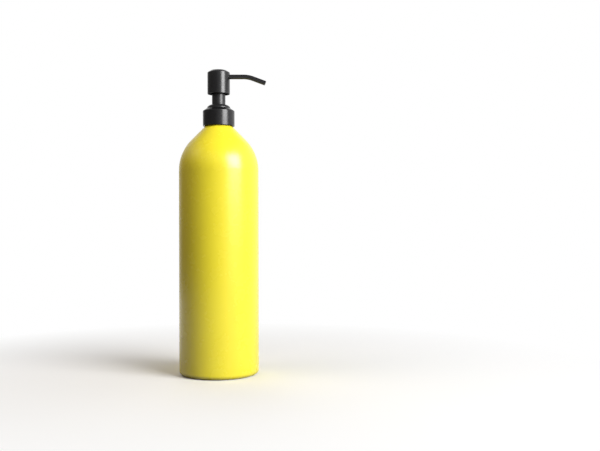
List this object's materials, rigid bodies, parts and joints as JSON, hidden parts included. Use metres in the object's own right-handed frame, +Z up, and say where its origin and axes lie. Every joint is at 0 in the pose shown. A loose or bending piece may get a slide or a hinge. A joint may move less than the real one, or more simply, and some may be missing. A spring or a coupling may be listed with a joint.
{
  "type": "dish soap bottle",
  "caption": "Slim round bottle with a domed shoulder and a screw-on lotion pump: press head, bent spout, spring and dip tube.",
  "frame": {"origin": "centre of the base, on the surface the bottle stands on", "axes": "+Z up along the bottle's axis, +X along the spout, from the axis to its outlet"},
  "size_m": [0.0868, 0.0788, 0.3021],
  "materials": {
    "yellow_paint": "satin",
    "black_metal": "satin",
    "black_plastic": "satin",
    "natural_plastic": "satin",
    "seal_white": "matte",
    "bright_steel": "polished"
  },
  "bodies": {
    "bottle_body": {"bottle": "yellow_paint"},
    "gasket_ring": {"gasket": "seal_white"},
    "pump_body": {"pump_housing": "natural_plastic", "chaplet": "black_plastic", "inlet_ball": "bright_steel", "dip_tube": "natural_plastic", "return_spring": "bright_steel"},
    "closure": {"closure_shell": "black_metal", "closure_liner": "black_plastic"},
    "piston_slide": {"piston": "seal_white"},
    "head": {"stem": "black_plastic", "piston_rod": "natural_plastic", "head_core": "black_plastic", "head_shell": "black_metal", "spout_tube": "black_metal"}
  },
  "joints": [
    {"name": "pump_lift_out", "type": "slide", "parent": "bottle_body", "child": "gasket_ring", "axis": [0, 0, 1], "range_m": [0, 0.27]},
    {"name": "unscrew_rise", "type": "slide", "parent": "gasket_ring", "child": "pump_body", "axis": [0, 0, 1], "range_m": [0, 0.00566]},
    {"name": "closure_turn", "type": "hinge", "parent": "pump_body", "child": "closure", "pos_m": [0, 0, 0.255], "axis": [0, 0, 1], "range_deg": [0, 480]},
    {"name": "head_press", "type": "slide", "parent": "pump_body", "child": "piston_slide", "axis": [0, 0, -1], "range_m": [0, 0.0118], "stiffness_N_per_m": 800, "springref_m": -0.006, "deforming": ["return_spring"]},
    {"name": "head_turn", "type": "hinge", "parent": "piston_slide", "child": "head", "pos_m": [0, 0, 0.28], "axis": [0, 0, 1], "continuous": true}
  ],
  "couplings": [
    {"joint": "unscrew_rise", "follows": "closure_turn", "m_per_rad": 0.00067322}
  ]
}
